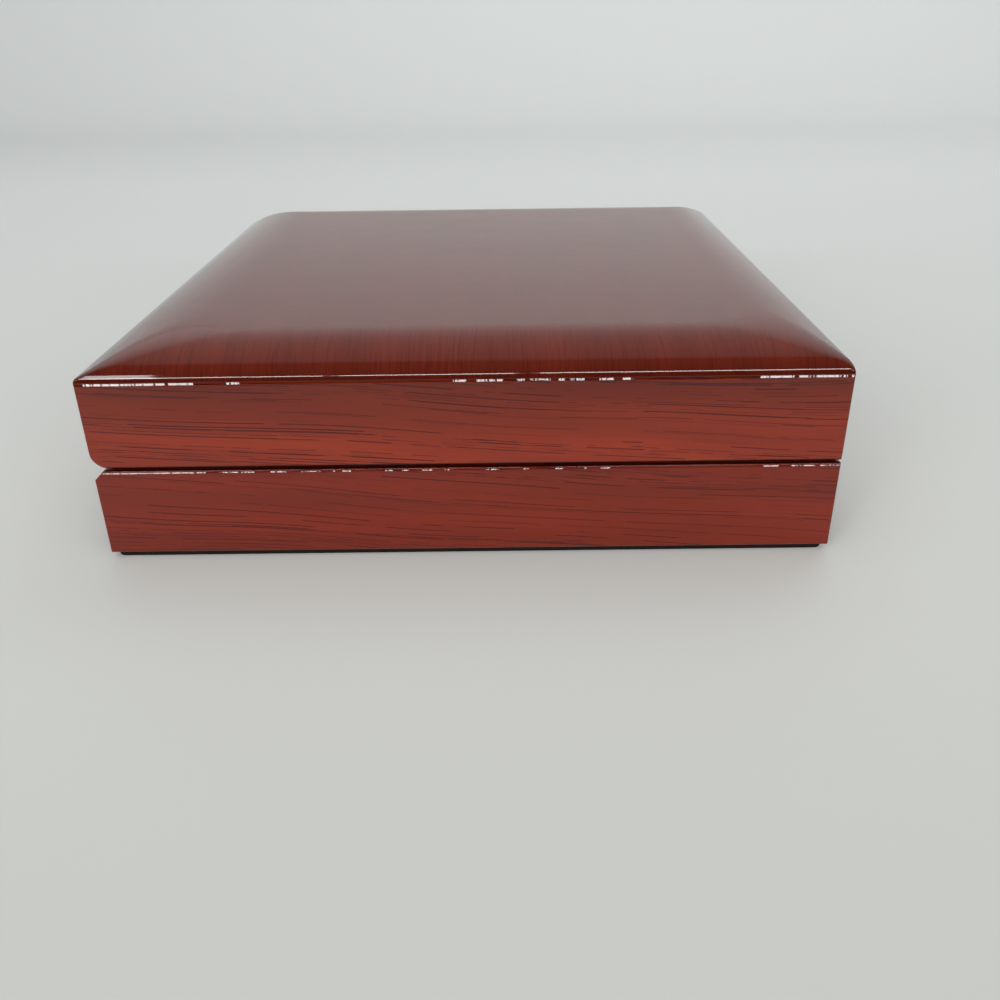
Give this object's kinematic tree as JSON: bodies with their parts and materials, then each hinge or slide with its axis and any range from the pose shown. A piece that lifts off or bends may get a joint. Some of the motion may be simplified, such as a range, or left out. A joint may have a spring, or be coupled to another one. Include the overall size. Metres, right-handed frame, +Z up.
{
  "type": "jewelry box",
  "caption": "Square lacquered wooden jewelry box with a crowned, hinged lid, velvet lining, ring rolls and bays.",
  "frame": {"origin": "centre of the felt sole's underside, where the box stands", "axes": "+Z up; -X is the opening side with the finger groove, +X the hinge side; -Y is the side nearest the picture's camera"},
  "size_m": [0.1693, 0.165, 0.0496],
  "materials": {
    "lacquered_wood": "gloss lacquer over reddish open-pored wood",
    "lacquered_top": "gloss lacquer over reddish open-pored wood",
    "plywood": "plain sanded",
    "felt": "pressed felt",
    "velvet": "short-pile velvet",
    "satin": "padded satin",
    "brass": "polished",
    "steel": "nickel-plated magnet"
  },
  "bodies": {
    "base": {"base_front_rail": "lacquered_wood", "base_front_lining": "velvet", "base_back_rail": "lacquered_wood", "base_back_lining": "velvet", "base_right_rail": "lacquered_wood", "base_right_lining": "velvet", "base_left_rail": "lacquered_wood", "base_left_lining": "velvet", "base_bottom_panel": "plywood", "base_felt_sole": "felt", "base_floor_lining": "velvet", "long_divider": "velvet", "bay_divider_1": "velvet", "bay_divider_2": "velvet", "ring_roll_1": "velvet", "ring_roll_2": "velvet", "ring_roll_3": "velvet", "ring_roll_4": "velvet", "ring_roll_5": "velvet", "bracelet_pillow": "velvet", "base_magnets": "steel", "base_hinge_leaf_1": "brass", "hinge_pin_1": "brass", "base_hinge_leaf_2": "brass", "hinge_pin_2": "brass", "base_hinge_screws": "brass"},
    "lid": {"lid_front_rail": "lacquered_wood", "lid_front_lining": "velvet", "lid_back_rail": "lacquered_wood", "lid_back_lining": "velvet", "lid_right_rail": "lacquered_wood", "lid_right_lining": "velvet", "lid_left_rail": "lacquered_wood", "lid_left_lining": "velvet", "lid_top_panel": "lacquered_top", "lid_ceiling_lining": "velvet", "lid_pad": "satin", "lid_magnets": "steel", "lid_hinge_leaf_1": "brass", "lid_hinge_leaf_2": "brass", "lid_hinge_screws": "brass"}
  },
  "joints": [
    {"name": "lid_hinge", "type": "hinge", "parent": "base", "child": "lid", "pos_m": [0.0848, 0, 0.0224], "axis": [0, 1, 0], "range_deg": [0, 100]}
  ]
}
